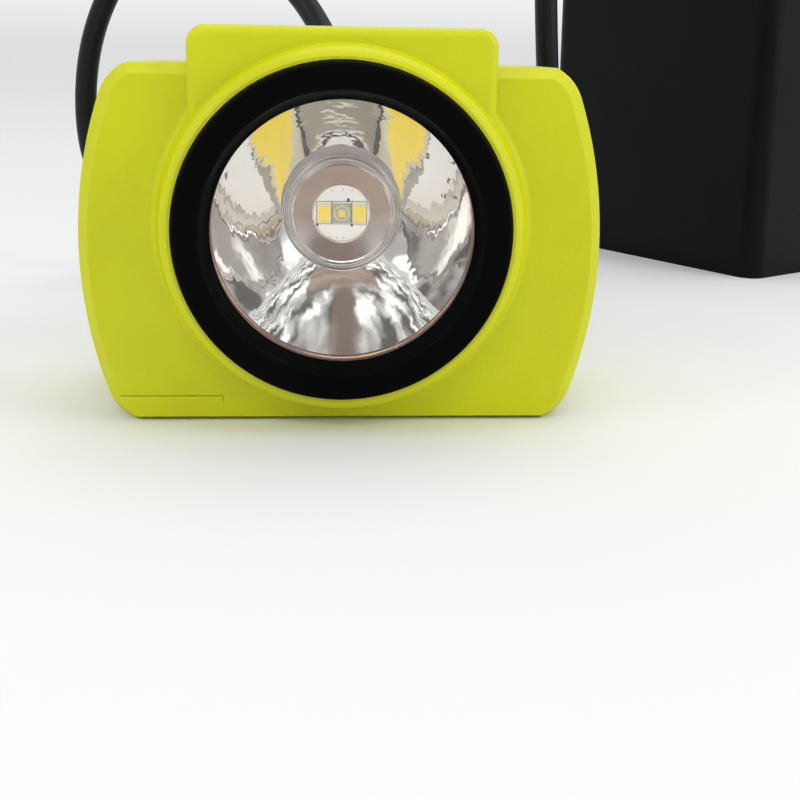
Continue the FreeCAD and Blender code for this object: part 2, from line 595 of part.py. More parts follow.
def cells():
    places = [(i - 1.5) * dim("cell_pitch") for i in range(4)]
    stack = []
    for i, x in enumerate(places):
        can = cylinder(f"cell_can_{i}", "Dims.cell_radius", "Dims.cell_long - 1.2", f"{x}", "0", "5")
        tip = cylinder(f"cell_tip_{i}", "3", "1.2", f"{x}", "0", "Dims.cell_long + 3.8")
        stack.append(fuse(f"cell_{i}", [can, tip]))
    node(group("cell_set", stack), "battery_cells", True)
    for label, bottom, well in (("cell_tray", 2.5, 5), ("cell_cover", 64, 62)):
        block = box(label + "_block", "77", "31", "7.5", "0", "-15.5", f"{bottom}")
        wells = [cylinder(f"{label}_well_{i}", "Dims.cell_radius + 0.05", "8", f"{x}", "0", f"{well}")
                 for i, x in enumerate(places)]
        node(cut(label + "_whole", block, wells), label, True)
    plate = box("guard_plate", "60", "24", "1.6", "0", "-12", "76.5")
    legs = [cylinder(f"guard_leg_{i}", "1.8", "5", f"{x}", f"{y}", "71.5") for i, (x, y) in
            enumerate([(-27, -9), (27, -9), (-27, 9), (27, 9)])]
    node(fuse("guard_whole", [plate] + legs), "protection_board", True)
    chips = [
        box("guard_chip", "6", "5", "1.2", "-10", "-2.5", "78.1"),
        box("guard_fet", "5", "6", "1", "8", "-3", "78.1"),
        box("lead_socket", "8", "6", "5", "22", "-3", "78.1"),
    ]
    node(group("guard_set", chips), "board_parts", True)


def belt_loops():
    """Two upright bridges on the back, which a belt passes through."""
    back = dim("case_deep") / 2
    tall = "Dims.loop_high - Dims.loop_low"
    loops = []
    for side in (-1, 1):
        x = f"{side} * Dims.loop_x"
        blank = box(f"loop_blank_{side + 1}", "Dims.loop_wide", "Dims.loop_gap + Dims.loop_thick", tall, x,
                    str(back), "Dims.loop_low")
        DOC.recompute()
        outer = [i for i, e in enumerate(blank.Shape.Edges, start=1)
                 if e.BoundBox.XLength > 1 and e.BoundBox.YMin > back + 1]
        soft = DOC.addObject("Part::Fillet", f"loop_soft_{side + 1}")
        soft.Base = blank
        soft.Edges = [(i, 3.0, 3.0) for i in outer]
        space = box(f"loop_space_{side + 1}", "Dims.loop_wide + 2", "Dims.loop_gap", tall + " - 8", x,
                    str(back), "Dims.loop_low + 4")
        loops.append(cut(f"loop_{side + 1}", soft, [space]))
    node(group("loop_pair", loops), "belt_loops", True)


# ---------------------------------------------------------------- cable

# The cable leaves the gland, arches over to the ground on the left and reaches the coil.
ROUTE_FRONT = [
    (0, 37, 54), (0, 53.5, 54), (-2, 68, 62), (-10, 77.5, 75), (-23, 84.5, 86), (-40, 91, 88.5),
    (-54.5, 97, 80.5), (-63, 102, 65.5), (-66.8, 106, 48), (-66, 108.5, 30.5), (-58.5, 110.5, 14.5),
    (-44, 111, 5), (-28.5, 110, 2.75), (-14, 108, 2.75),
]
# It leaves the coil along the ground, rises, and arches over into the sleeve on the battery pack.
ROUTE_REAR = [
    (14, 108.5, 2.75), (28, 107.8, 2.75), (40.4, 104.4, 6.2), (49.2, 99, 14.2), (53.2, 92.6, 25.8),
    (53.2, 87.2, 39.4), (51.4, 83.6, 53.8), (50.1, 82.1, 69), (49.4, 82.6, 84.6), (49, 84.7, 100.2),
    (48.2, 87.4, 116), (48.6, 90, 131.3), (54.2, 93.4, 145), (63.5, 99, 153.7), (74.9, 106.1, 157),
    (86.24, 113.2, 154.34),
]


def tube(label, route):
    """Straight runs joined by tangent arcs, each as large as its two runs allow."""
    points = [Vector(*p) for p in route]
    share = 0.45
    edges, start, length, radii = [], points[0], 0.0, []
    for before, corner, after in zip(points, points[1:], points[2:]):
        into, out = corner - before, after - corner
        turn = into.getAngle(out)
        trim = share * min(into.Length, out.Length)
        radii.append(trim / math.tan(turn / 2))
        into.normalize()
        out.normalize()
        entry, leave = corner - into * trim, corner + out * trim
        inward = (out - into).normalize()
        middle = corner + inward * (radii[-1] / math.cos(turn / 2) - radii[-1])
        edges += [Part.LineSegment(start, entry).toShape(), Part.Arc(entry, middle, leave).toShape()]
        length += (entry - start).Length + radii[-1] * turn
        start = leave
    edges.append(Part.LineSegment(start, points[-1]).toShape())
    length += (points[-1] - start).Length
    path = Part.Wire(edges)
    heading = points[1] - points[0]
    section = Part.Wire(Part.makeCircle(dim("cord_radius"), points[0], heading))
    solid = DOC.addObject("Part::Feature", label + "_tube")
    solid.Shape = path.makePipeShell([section], True, True)
    expected = math.pi * dim("cord_radius") ** 2 * length
    print(f"{label}: length {length:.1f} mm, volume / expected {solid.Shape.Volume / expected:.4f}")
    print(f"{label}: bend radii " + ", ".join(f"{r:.0f}" for r in radii))
    node(solid, label)


def cable():
    rise = math.radians(dim("relief_rise"))
    reach = dim("boss_long") + dim("relief_long") + dim("sleeve_long")
    local = Vector(dim("relief_x"), dim("relief_y") - reach * math.cos(rise),
                   dim("cap_top") + dim("relief_lift") + reach * math.sin(rise))
    place = Placement(Vector(dim("pack_x"), dim("pack_y"), 0), Rotation(Vector(0, 0, 1), dim("pack_yaw")))
    mouth = place.multVec(local)
    tube("cord_front", ROUTE_FRONT)
    tube("cord_rear", ROUTE_REAR + [tuple(mouth)])
    node(ring("coil_ring", "Dims.coil_outer", "Dims.coil_inner", "Dims.coil_tall", "0", "Dims.coil_y", "0"),
         "cord_coil")
    middle = "-(Dims.coil_inner + Dims.coil_outer) / 2"
    band = box("tie_band", "Dims.coil_outer - Dims.coil_inner + 3", "12", "Dims.coil_tall + 1.4", middle,
               "Dims.coil_y - 6", "0")
    space = box("tie_space", "Dims.coil_outer - Dims.coil_inner + 0.8", "14", "Dims.coil_tall + 0.2", middle,
                "Dims.coil_y - 7", "0")
    node(cut("tie_whole", band, [space]), "coil_tie")


# ---------------------------------------------------------------- assembly and files

front_housing()
rear_housing()
housing_seal()
housing_screws()
optics()
electronics()
button()
helmet_clip()
gland()
charging_contacts()
pack_shell()
pack_cap()
strain_relief()
cells()
belt_loops()
cable()

DOC.recompute()
failed = [obj.Name for obj in DOC.Objects if {"Invalid", "Error"} & set(obj.State)]
failed += [obj.Label for obj in NODES if obj.Shape.isNull() or not obj.Shape.isValid()]
if failed:
    raise SystemExit(f"failed objects: {failed}")

os.makedirs("parts", exist_ok=True)
for obj in NODES:
    obj.Shape.exportStep(f"parts/{obj.Label}.step")
    print(f"{obj.Label:20s} solids {len(obj.Shape.Solids)} volume {obj.Shape.Volume:9.1f}")
print(len(NODES), "nodes")
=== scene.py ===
"""Looks of the corded cap lamp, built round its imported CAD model. Objects are in metres, in the CAD frame."""

import math

import bmesh
import bpy
from mathutils import Matrix, Vector


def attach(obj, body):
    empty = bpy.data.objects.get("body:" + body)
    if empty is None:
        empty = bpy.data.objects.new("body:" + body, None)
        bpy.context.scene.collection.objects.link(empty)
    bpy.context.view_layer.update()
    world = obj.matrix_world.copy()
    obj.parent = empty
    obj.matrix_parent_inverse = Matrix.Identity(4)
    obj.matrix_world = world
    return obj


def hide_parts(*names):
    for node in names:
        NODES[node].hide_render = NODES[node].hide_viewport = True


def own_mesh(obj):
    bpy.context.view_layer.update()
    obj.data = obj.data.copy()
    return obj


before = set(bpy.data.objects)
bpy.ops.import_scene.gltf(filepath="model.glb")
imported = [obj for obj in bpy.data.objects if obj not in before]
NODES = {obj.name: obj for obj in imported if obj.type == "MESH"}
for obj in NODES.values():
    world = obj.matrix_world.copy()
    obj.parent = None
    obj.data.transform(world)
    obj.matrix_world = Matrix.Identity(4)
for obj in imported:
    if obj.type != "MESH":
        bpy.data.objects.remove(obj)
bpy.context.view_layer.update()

MM = 0.001

# Places and sizes below are in millimetres, unless a name or comment says otherwise.
LENS_HEIGHT = 33.0
AXIS_START = (0, 0, LENS_HEIGHT)
ALONG_Y = (0, 1, 0)
UP = (0, 0, 1)


# ---------------------------------------------------------------- camera, light and floor

CAMERA_PLACE = Vector((-1.5, -197.8, 61.5)) * MM
CAMERA_YAW = math.radians(3.46)
CAMERA_PITCH = math.radians(11.51)
CAMERA_ROLL = math.radians(0.89)
FOCAL_LENGTH, SENSOR_WIDTH = 50.87, 36.0
CAMERA_SHIFT = -0.15    # the lamp is in the upper half of the picture
CAMERA_CLIP = (0.01, 20)    # metres


def camera():
    data = bpy.data.cameras.new("camera")
    data.lens = FOCAL_LENGTH
    data.sensor_width = SENSOR_WIDTH
    data.shift_y = CAMERA_SHIFT
    data.clip_start, data.clip_end = CAMERA_CLIP
    obj = bpy.data.objects.new("camera", data)
    heading = Matrix.Rotation(-CAMERA_YAW, 4, "Z")
    tilt = Matrix.Rotation(math.radians(90) - CAMERA_PITCH, 4, "X")
    roll = Matrix.Rotation(CAMERA_ROLL, 4, "Z")
    obj.matrix_world = Matrix.Translation(CAMERA_PLACE) @ heading @ tilt @ roll
    bpy.context.scene.collection.objects.link(obj)
    bpy.context.scene.camera = obj


LIGHT_TARGET = Vector((20, 40, 40)) * MM


def area_light(name, place, size, power):
    """A soft box in metres and watts, facing the lamp."""
    data = bpy.data.lights.new(name, "AREA")
    data.shape = "RECTANGLE"
    data.size, data.size_y = size
    data.energy = power
    obj = bpy.data.objects.new(name, data)
    obj.location = place
    obj.rotation_euler = (Vector(place) - LIGHT_TARGET).to_track_quat("Z", "Y").to_euler()
    bpy.context.scene.collection.objects.link(obj)


def sun_light(name, tilt, angle, strength):
    """Even light from above; tilt is how far it leans, and angle how wide its source looks, in degrees."""
    data = bpy.data.lights.new(name, "SUN")
    data.energy = strength
    data.angle = math.radians(angle)
    obj = bpy.data.objects.new(name, data)
    obj.rotation_euler = [math.radians(lean) for lean in tilt]
    bpy.context.scene.collection.objects.link(obj)


BACKDROP_LOW, BACKDROP_HIGH = (0.812, 0.82, 0.82), (0.95, 0.96, 0.97)
BACKDROP_RISE = 0.04    # sine of the height at which the backdrop is at its palest
ROOM_PLAIN = [(0.1, (0.62, 0.61, 0.6)), (0.62, (0.95, 0.96, 0.97))]
ROOM_THINGS = [(0.38, (0.07, 0.055, 0.05)), (0.46, (0.5, 0.48, 0.46)), (0.54, (0.62, 0.6, 0.58)),
               (0.6, (1.9, 1.9, 1.85))]
ROOM_AHEAD = [(0.3, 1.0), (0.5, 0.0)]


def room(tree):
    """A plain pale backdrop for the camera, and for the mirror bowl a room.

    The room is pale, greyer on the lens side, and has bright and dark patches there."""
    direction = tree.nodes.new("ShaderNodeTexCoord")
    split = tree.nodes.new("ShaderNodeSeparateXYZ")
    tree.links.new(direction.outputs["Generated"], split.inputs["Vector"])
    spread = tree.nodes.new("ShaderNodeMapRange")
    spread.inputs["From Min"].default_value = -1
    tree.links.new(split.outputs["Y"], spread.inputs["Value"])
    plain = ramp(tree, spread.outputs["Result"], ROOM_PLAIN)
    stretch = tree.nodes.new("ShaderNodeMapping")
    stretch.inputs["Scale"].default_value = (1.0, 1.0, 0.45)
    tree.links.new(direction.outputs["Generated"], stretch.inputs["Vector"])
    patches = tree.nodes.new("ShaderNodeTexNoise")
    patches.inputs["Scale"].default_value = 5.5
    patches.inputs["Detail"].default_value = 1.5
    tree.links.new(stretch.outputs["Vector"], patches.inputs["Vector"])
    things = ramp(tree, patches.outputs["Fac"], ROOM_THINGS)
    ahead = ramp(tree, spread.outputs["Result"], ROOM_AHEAD)
    rise = tree.nodes.new("ShaderNodeMapRange")
    rise.inputs["From Max"].default_value = BACKDROP_RISE
    tree.links.new(split.outputs["Z"], rise.inputs["Value"])
    backdrop = mix(tree, rise.outputs["Result"], BACKDROP_LOW, BACKDROP_HIGH)
    ray = tree.nodes.new("ShaderNodeLightPath")
    seen = mix(tree, ray.outputs["Is Camera Ray"], mix(tree, ahead, plain, things), backdrop)
    tree.links.new(seen, tree.nodes["Background"].inputs["Color"])


SOFT_BOXES = {
    "light_left": ((-0.75, -0.35, 0.5), (0.35, 0.6), 1.7),
    "light_right": ((0.8, -0.35, 0.45), (0.3, 0.6), 2.8),
    "light_front": ((-0.1, -0.75, 0.75), (0.7, 0.18), 1.7),
}
ROOM_STRENGTH = 0.9


def lights():
    sun_light("light_top", (-12, 10, 0), angle=45, strength=0.7)
    for name, (place, size, power) in SOFT_BOXES.items():
        area_light(name, place, size, power)
    world = bpy.data.worlds.new("studio")
    world.use_nodes = True
    room(world.node_tree)
    world.node_tree.nodes["Background"].inputs["Strength"].default_value = ROOM_STRENGTH
    bpy.context.scene.world = world


FLOOR_SIZE = 12    # metres
FLOOR_COLOUR = (0.76, 0.77, 0.77, 1)


def floor():
    bpy.ops.mesh.primitive_plane_add(size=FLOOR_SIZE, location=(0, 0, 0))
    plane = bpy.context.object
    plane.name = "floor"
    material, tree, shader = new_material("floor_paint")
    shader.inputs["Base Color"].default_value = FLOOR_COLOUR
    shader.inputs["Roughness"].default_value = 0.9
    shader.inputs["Specular IOR Level"].default_value = 0.0
    plane.data.materials.append(material)


MAT_SIZE, MAT_PLACE = 1, (0, -0.53, 0.0004)    # metres
MAT_STREAKS = [(0.4, (0.06, 0.05, 0.05)), (0.47, (0.42, 0.41, 0.4)), (0.53, (0.75, 0.75, 0.73)),
               (0.6, (1.6, 1.6, 1.5))]
MAT_CARD = ((0.3, 0.2, 0.15), (0.5, 0.37, 0.29))
MAT_DARK_CARD = (0.17, 0.105, 0.08)


def reflection_mat():
    """A mat that only mirrors see, in front of the lamp: brown bands in the middle, streaks beside them.

    The bands copy the photographer's reflection in the photograph; they are an open fault."""
    bpy.ops.mesh.primitive_plane_add(size=MAT_SIZE, location=MAT_PLACE)
    mat = bpy.context.object
    mat.name = "reflection_mat"
    mat.visible_camera = mat.visible_diffuse = mat.visible_shadow = mat.visible_transmission = False
    material = bpy.data.materials.new("mat_pattern")
    material.use_nodes = True
    tree = material.node_tree
    tree.nodes.remove(tree.nodes["Principled BSDF"])
    place = tree.nodes.new("ShaderNodeTexCoord")
    split = tree.nodes.new("ShaderNodeSeparateXYZ")
    tree.links.new(place.outputs["Object"], split.inputs["Vector"])

    def share(axis):
        """How far across the mat a point lies, from 0 to 1."""
        spread = tree.nodes.new("ShaderNodeMapRange")
        spread.inputs["From Min"].default_value = -0.5
        spread.inputs["From Max"].default_value = 0.5
        tree.links.new(split.outputs[axis], spread.inputs["Value"])
        return spread.outputs["Result"]

    def stripe(half, edge):
        """1 in a stripe along the middle of the mat, with soft edges."""
        stops = [(0.5 - edge, 0.0), (0.5 - half, 1.0), (0.5 + half, 1.0), (0.5 + edge, 0.0)]
        return ramp(tree, share("X"), stops)

    def streaks(scale, detail, stretch):
        return ramp(tree, noise(tree, scale, detail, (1, stretch, 1)), MAT_STREAKS)

    patchy = ramp(tree, noise(tree, 14, 3), [(0.4, 0.0), (0.6, 1.0)])
    card = mix(tree, patchy, *MAT_CARD)
    narrow = stripe(0.007, 0.011)
    wide = stripe(0.044, 0.052)
    away = ramp(tree, share("Y"), [(0.8, 1.0), (0.86, 0.0)])
    near_side = mix(tree, narrow, streaks(46, 2, 0.3), MAT_DARK_CARD)
    far_side = mix(tree, wide, streaks(22, 1, 0.4), card)
    pattern = mix(tree, away, near_side, far_side)
    glow = tree.nodes.new("ShaderNodeEmission")
    tree.links.new(pattern, glow.inputs["Color"])
    tree.links.new(glow.outputs["Emission"], tree.nodes["Material Output"].inputs["Surface"])
    mat.data.materials.append(material)


# ---------------------------------------------------------------- materials

def new_material(name):
    material = bpy.data.materials.new(name)
    material.use_nodes = True
    tree = material.node_tree
    return material, tree, tree.nodes["Principled BSDF"]


def noise(tree, scale, detail, stretch=(1, 1, 1)):
    """A noise texture fixed to the piece, with scale in features per metre."""
    place = tree.nodes.new("ShaderNodeTexCoord")
    mapping = tree.nodes.new("ShaderNodeMapping")
    mapping.inputs["Scale"].default_value = stretch
    texture = tree.nodes.new("ShaderNodeTexNoise")
    texture.inputs["Scale"].default_value = scale
    texture.inputs["Detail"].default_value = detail
    tree.links.new(place.outputs["Object"], mapping.inputs["Vector"])
    tree.links.new(mapping.outputs["Vector"], texture.inputs["Vector"])
    return texture.outputs["Fac"]


def ramp(tree, source, stops):
    """A colour ramp; each stop is (position, value or colour)."""
    node = tree.nodes.new("ShaderNodeValToRGB")
    elements = node.color_ramp.elements
    while len(elements) < len(stops):
        elements.new(0.5)
    for element, (place, colour) in zip(elements, stops):
        element.position = place
        element.color = (colour, colour, colour, 1) if isinstance(colour, (int, float)) else (*colour, 1)
    tree.links.new(source, node.inputs["Fac"])
    return node.outputs["Color"]


def mix(tree, share, low, high):
    """Two colours mixed by share; each is a socket or a plain colour."""
    node = tree.nodes.new("ShaderNodeMix")
    node.data_type = "RGBA"
    for name, value in (("Factor", share), ("A", low), ("B", high)):
        socket = next(s for s in node.inputs if s.name == name and s.enabled)
        if isinstance(value, bpy.types.NodeSocket):
            tree.links.new(value, socket)
        elif name == "Factor":
            socket.default_value = value
        else:
            socket.default_value = (*value, 1)
    return next(s for s in node.outputs if s.enabled)


def bump(tree, shader, layers):
    """Stacked bumps; each layer is (height socket, depth in metres)."""
    before = None
    for height, depth in layers:
        node = tree.nodes.new("ShaderNodeBump")
        node.inputs["Strength"].default_value = 1.0
        node.inputs["Distance"].default_value = depth
        tree.links.new(height, node.inputs["Height"])
        if before:
            tree.links.new(before, node.inputs["Normal"])
        before = node.outputs["Normal"]
    tree.links.new(before, shader.inputs["Normal"])


EDGE_REACH = 0.0005    # how far from an edge the lighter colour starts, in metres


def edge_lightening(tree):
    """Near 1 on sharp edges and 0 on flats, from how far a rounded normal leans off the true one."""
    soft = tree.nodes.new("ShaderNodeBevel")
    soft.samples = 4
    soft.inputs["Radius"].default_value = EDGE_REACH
    shape = tree.nodes.new("ShaderNodeNewGeometry")
    lean = tree.nodes.new("ShaderNodeVectorMath")
    lean.operation = "DOT_PRODUCT"
    tree.links.new(soft.outputs["Normal"], lean.inputs[0])
    tree.links.new(shape.outputs["Normal"], lean.inputs[1])
    return ramp(tree, lean.outputs["Value"], [(0.8, 1.0), (0.995, 0.0)])


def moulded(name, colour, dark, roughness, grain, depth, spread=0.1, wear=None, shine=0.5, mottle=60,
            glow=0.0):
    """Moulded plastic or rubber: mottled colour, spark-erosion grain, uneven gloss and a lighter colour on
    sharp edges.

    Grain and mottle are in features per metre, and depth, the grain's, in metres. A little glow stands for
    the light that the reflector gathers on what lies at its focus."""
    material, tree, shader = new_material(name)
    patches = ramp(tree, noise(tree, mottle, 5), [(0.3, 0.0), (0.75, 1.0)])
    base = mix(tree, patches, dark, colour)
    # sharp edges take a lighter colour
    if wear:
        base = mix(tree, edge_lightening(tree), base, wear)
    tree.links.new(base, shader.inputs["Base Color"])
    tree.links.new(ramp(tree, noise(tree, 25, 6), [(0.3, roughness - spread), (0.7, roughness + spread)]),
                   shader.inputs["Roughness"])
    shader.inputs["Specular IOR Level"].default_value = shine
    if glow:
        shader.inputs["Emission Color"].default_value = (*colour, 1)
        shader.inputs["Emission Strength"].default_value = glow
    bump(tree, shader, [(noise(tree, grain, 3), depth), (noise(tree, 90, 2), depth)])
    return material


def metal(name, colour, roughness, brush=None):
    """Metal with an even finish, or with streaks where brush stretches its grain along an axis."""
    spread, glossiest = 0.08, 0.01
    material, tree, shader = new_material(name)
    shader.inputs["Metallic"].default_value = 1.0
    streak = noise(tree, 900 if brush else 250, 5, brush or (1, 1, 1))
    tint = tuple(c * 0.8 for c in colour)
    tree.links.new(mix(tree, ramp(tree, streak, [(0.35, 0.0), (0.65, 1.0)]), tint, colour),
                   shader.inputs["Base Color"])
    tree.links.new(ramp(tree, streak, [(0.3, max(roughness - spread, glossiest)), (0.7, roughness + spread)]),
                   shader.inputs["Roughness"])
    bump(tree, shader, [(streak, 0.000004)])
    return material


def mirror(name, colour, roughness, ripple, coarse):
    """Vacuum-metallised surface with an orange peel, ripple metres deep and coarse waves per metre."""
    material, tree, shader = new_material(name)
    shader.inputs["Metallic"].default_value = 1.0
    shader.inputs["Base Color"].default_value = (*colour, 1)
    tree.links.new(ramp(tree, noise(tree, 300, 4), [(0.3, roughness), (0.75, roughness * 2.5)]),
                   shader.inputs["Roughness"])
    bump(tree, shader, [(noise(tree, coarse, 3), ripple), (noise(tree, 420, 2), ripple * 0.05)])
    return material


def clear(name, alpha, tint, roughness):
    """Thin clear window: light goes straight through, and its face still shines."""
    material, tree, shader = new_material(name)
    shader.inputs["Base Color"].default_value = (*tint, 1)
    shader.inputs["Alpha"].default_value = alpha
    shader.inputs["IOR"].default_value = 1.5
    tree.links.new(ramp(tree, noise(tree, 120, 6), [(0.4, roughness), (0.8, roughness * 4)]),
                   shader.inputs["Roughness"])
    return material


def phosphor(name, colour, deep, glow):
    """Silicone loaded with phosphor grains; its glow is painted light that the reflector gathers at its focus.
    """
    material, tree, shader = new_material(name)
    grain = ramp(tree, noise(tree, 4200, 3), [(0.3, 0.0), (0.7, 1.0)])
    tree.links.new(mix(tree, grain, deep, colour), shader.inputs["Base Color"])
    shader.inputs["Roughness"].default_value = 0.32
    # painted light: the glow stands for light that the reflector gathers on the LEDs
    shader.inputs["Emission Color"].default_value = (*colour, 1)
    shader.inputs["Emission Strength"].default_value = glow
    bump(tree, shader, [(noise(tree, 4200, 3), 0.00001)])
    return material


def woven(name, colour):
    """Hook-and-loop band: crossed threads."""
    material, tree, shader = new_material(name)
    place = tree.nodes.new("ShaderNodeTexCoord")
    wave = tree.nodes.new("ShaderNodeTexWave")
    wave.inputs["Scale"].default_value = 300
    wave.inputs["Distortion"].default_value = 3
    tree.links.new(place.outputs["Object"], wave.inputs["Vector"])
    shade = ramp(tree, wave.outputs["Fac"], [(0.2, 0.0), (0.8, 1.0)])
    tree.links.new(mix(tree, shade, tuple(c * 0.4 for c in colour), colour), shader.inputs["Base Color"])
    shader.inputs["Roughness"].default_value = 0.9
    shader.inputs["Specular IOR Level"].default_value = 0.2
    bump(tree, shader, [(wave.outputs["Fac"], 0.0002), (noise(tree, 2500, 3), 0.0001)])
    return material


LIME = (0.6, 0.63, 0.0008)
LIME_SHADE = (0.545, 0.565, 0.0008)
# a lighter lime for sharp edges
LIME_EDGE = (0.64, 0.68, 0.01)

# name: colour, shade, roughness, grain per metre, grain depth in metres, and what differs from the usual
MOULDED = {
    "lime_plastic": (LIME, LIME_SHADE, 0.42, 2300, 0.00006, dict(spread=0.05, wear=LIME_EDGE, shine=0.28)),
    "bezel_black": ((0.0012, 0.0016, 0.0014), (0.0008, 0.0011, 0.001), 0.5, 3200, 0.00002,
                    dict(spread=0.08, wear=(0.004, 0.005, 0.005), shine=0.04)),
    "case_black": ((0.0018, 0.0034, 0.0045), (0.001, 0.0022, 0.003), 0.46, 1700, 0.00006,
                   dict(wear=(0.009, 0.012, 0.014), shine=0.1)),
    "rubber_black": ((0.0035, 0.0045, 0.005), (0.002, 0.003, 0.0035), 0.5, 1400, 0.00003,
                     dict(wear=(0.01, 0.012, 0.013), shine=0.15)),
    "cable_jacket": ((0.004, 0.0065, 0.0065), (0.0025, 0.0045, 0.0045), 0.42, 900, 0.00003,
                     dict(shine=0.22)),
    "seal_rubber": ((0.05, 0.05, 0.046), (0.035, 0.035, 0.032), 0.7, 1500, 0.00002, {}),
    "gland_plastic": ((0.01, 0.011, 0.012), (0.006, 0.007, 0.008), 0.4, 1600, 0.00003,
                      dict(spread=0.08, wear=(0.04, 0.04, 0.04), shine=0.35)),
    "cell_frame": ((0.05, 0.05, 0.055), (0.03, 0.03, 0.033), 0.55, 1500, 0.00003, {}),
    "cell_wrap": ((0.02, 0.16, 0.34), (0.015, 0.12, 0.28), 0.25, 600, 0.00002, dict(spread=0.06)),
    "board_green": ((0.01, 0.13, 0.045), (0.008, 0.1, 0.035), 0.35, 500, 0.00001, dict(spread=0.05)),
    "chip_black": ((0.02, 0.02, 0.022), (0.012, 0.012, 0.014), 0.45, 2000, 0.00001, {}),
    "led_board_white": ((0.94, 0.92, 0.86), (0.9, 0.87, 0.8), 0.3, 900, 0.00001,
                        dict(spread=0.05, mottle=900, glow=0.36)),
    "led_package": ((0.85, 0.8, 0.58), (0.74, 0.68, 0.46), 0.35, 1500, 0.00001,
                    dict(spread=0.05, mottle=900, glow=0.25)),
    "led_substrate": ((0.62, 0.57, 0.46), (0.52, 0.47, 0.37), 0.25, 1500, 0.00001,
                      dict(spread=0.05, mottle=1200, glow=0.12)),
    "board_trace": ((0.05, 0.04, 0.03), (0.025, 0.02, 0.015), 0.4, 1500, 0.00001, {}),
}
# name: colour, roughness, and the stretch of a brushed finish
METALS = {
    "brushed_steel": ((0.6, 0.6, 0.61), 0.3, (14, 1, 1)),
    "screw_steel": ((0.55, 0.55, 0.56), 0.25, None),
    "brass_contact": ((0.75, 0.52, 0.2), 0.22, None),
    "cast_alloy": ((0.62, 0.63, 0.65), 0.42, None),
    "bowl_lip_copper": ((0.34, 0.2, 0.14), 0.2, None),
}


def make_materials():
    made = {name: moulded(name, *values, **others) for name, (*values, others) in MOULDED.items()}
    made["led_phosphor"] = phosphor("led_phosphor", (0.98, 0.74, 0.05), (0.9, 0.62, 0.025), glow=0.4)
    for name, (colour, roughness, brush) in METALS.items():
        made[name] = metal(name, colour, roughness, brush)
    made["mirror_bowl"] = mirror("mirror_bowl", (0.92, 0.92, 0.91), 0.012, ripple=0.00005, coarse=110)
    made["chrome_deck"] = mirror("chrome_deck", (0.8, 0.75, 0.71), 0.05, ripple=0.000003, coarse=160)
    made["lens_clear"] = clear("lens_clear", 0.05, (1, 1, 1), 0.03)
    made["dome_silicone"] = clear("dome_silicone", 0.22, (1.0, 0.93, 0.7), 0.03)
    made["tie_fabric"] = woven("tie_fabric", (0.02, 0.02, 0.022))
    return made


def paint(names, material):
    """Give CAD nodes that keep their own shape a material."""
    for name in names:
        data = NODES[name].data
        data.materials.clear()
        data.materials.append(material)


# ---------------------------------------------------------------- mesh makers

def new_piece(name, mesh, material, nodes=(), body="lamp", rounding=0.0):
    """Put a mesh in the scene on its body; rounding is the width of its edges' bevel in millimetres."""
    obj = bpy.data.objects.new(name, mesh)
    bpy.context.scene.collection.objects.link(obj)
    mesh.materials.append(material)
    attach(obj, body)
    if nodes:
        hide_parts(*nodes)
    if rounding:
        edges = obj.modifiers.new("rounding", "BEVEL")
        edges.width = rounding * MM
        edges.segments = 3
        edges.limit_method = "ANGLE"
        edges.angle_limit = math.radians(25)
        edges.harden_normals = True
    return obj


def finish_mesh(name, work):
    """A smooth mesh from the work, with doubled points merged and its faces turned outwards."""
    bmesh.ops.remove_doubles(work, verts=work.verts, dist=1e-7)
    bmesh.ops.recalc_face_normals(work, faces=work.faces)
    for face in work.faces:
        face.smooth = True
    mesh = bpy.data.meshes.new(name)
    work.to_mesh(mesh)
    work.free()
    return mesh


def join_loops(work, here, there):
    """Faces between two closed loops of as many points."""
    for step in range(len(here)):
        after = (step + 1) % len(here)
        work.faces.new((here[step], here[after], there[after], there[step]))


def lathe_into(work, profile, start, direction, turns=192, open_angle=None, open_start=0.0):
    """Turn a closed profile of (distance along the axis, radius) points, in millimetres, about an axis.

    With open_angle, in radians, only that much of the turn is made, and its two ends are capped."""
    axis = Vector(direction).normalized()
    side = axis.cross(Vector(UP) if abs(axis.z) < 0.9 else Vector(ALONG_Y)).normalized()
    other = axis.cross(side)
    whole = open_angle is None
    rings = []
    for index in range(turns if whole else turns + 1):
        angle = open_start + (2 * math.pi if whole else open_angle) * index / turns
        out = side * math.cos(angle) + other * math.sin(angle)
        rings.append([work.verts.new((Vector(start) + axis * along + out * radius) * MM)
                      for along, radius in profile])
    count = len(profile)
    for index in range(turns):
        here, there = rings[index], rings[(index + 1) % len(rings)]
        for step in range(count):
            after = (step + 1) % count
            if profile[step][1] == 0 and profile[after][1] == 0:
                continue
            work.faces.new((here[step], here[after], there[after], there[step]))
    if not whole:
        work.faces.new(rings[0])
        work.faces.new(rings[-1])


def lathe(name, profile, start, direction, material, nodes=(), body="lamp", turns=192):
    """A new piece from a profile turned about an axis."""
    work = bmesh.new()
    lathe_into(work, profile, start, direction, turns)
    bmesh.ops.dissolve_degenerate(work, dist=1e-8, edges=work.edges)
    return new_piece(name, finish_mesh(name, work), material, nodes, body)


def block_into(work, centre, size):
    """A box with the given centre and size, in millimetres."""
    scale = Matrix.Diagonal((*(s * MM for s in size), 1))
    bmesh.ops.create_cube(work, size=1, matrix=Matrix.Translation(Vector(centre) * MM) @ scale)


def blocks(name, boxes, material, nodes=(), rounding=0.05):
    """A new piece from boxes, each a centre and a size, with rounded edges."""
    work = bmesh.new()
    for centre, size in boxes:
        block_into(work, centre, size)
    return new_piece(name, finish_mesh(name, work), material, nodes, rounding=rounding)


def arc_points(centre, radius, first, last, steps):
    """Points of a profile's arc; angles in degrees, from the axis direction towards the radius."""
    return [(centre[0] + radius * math.cos(math.radians(first + (last - first) * i / steps)),
             centre[1] + radius * math.sin(math.radians(first + (last - first) * i / steps)))
            for i in range(steps + 1)]


# ---------------------------------------------------------------- cable

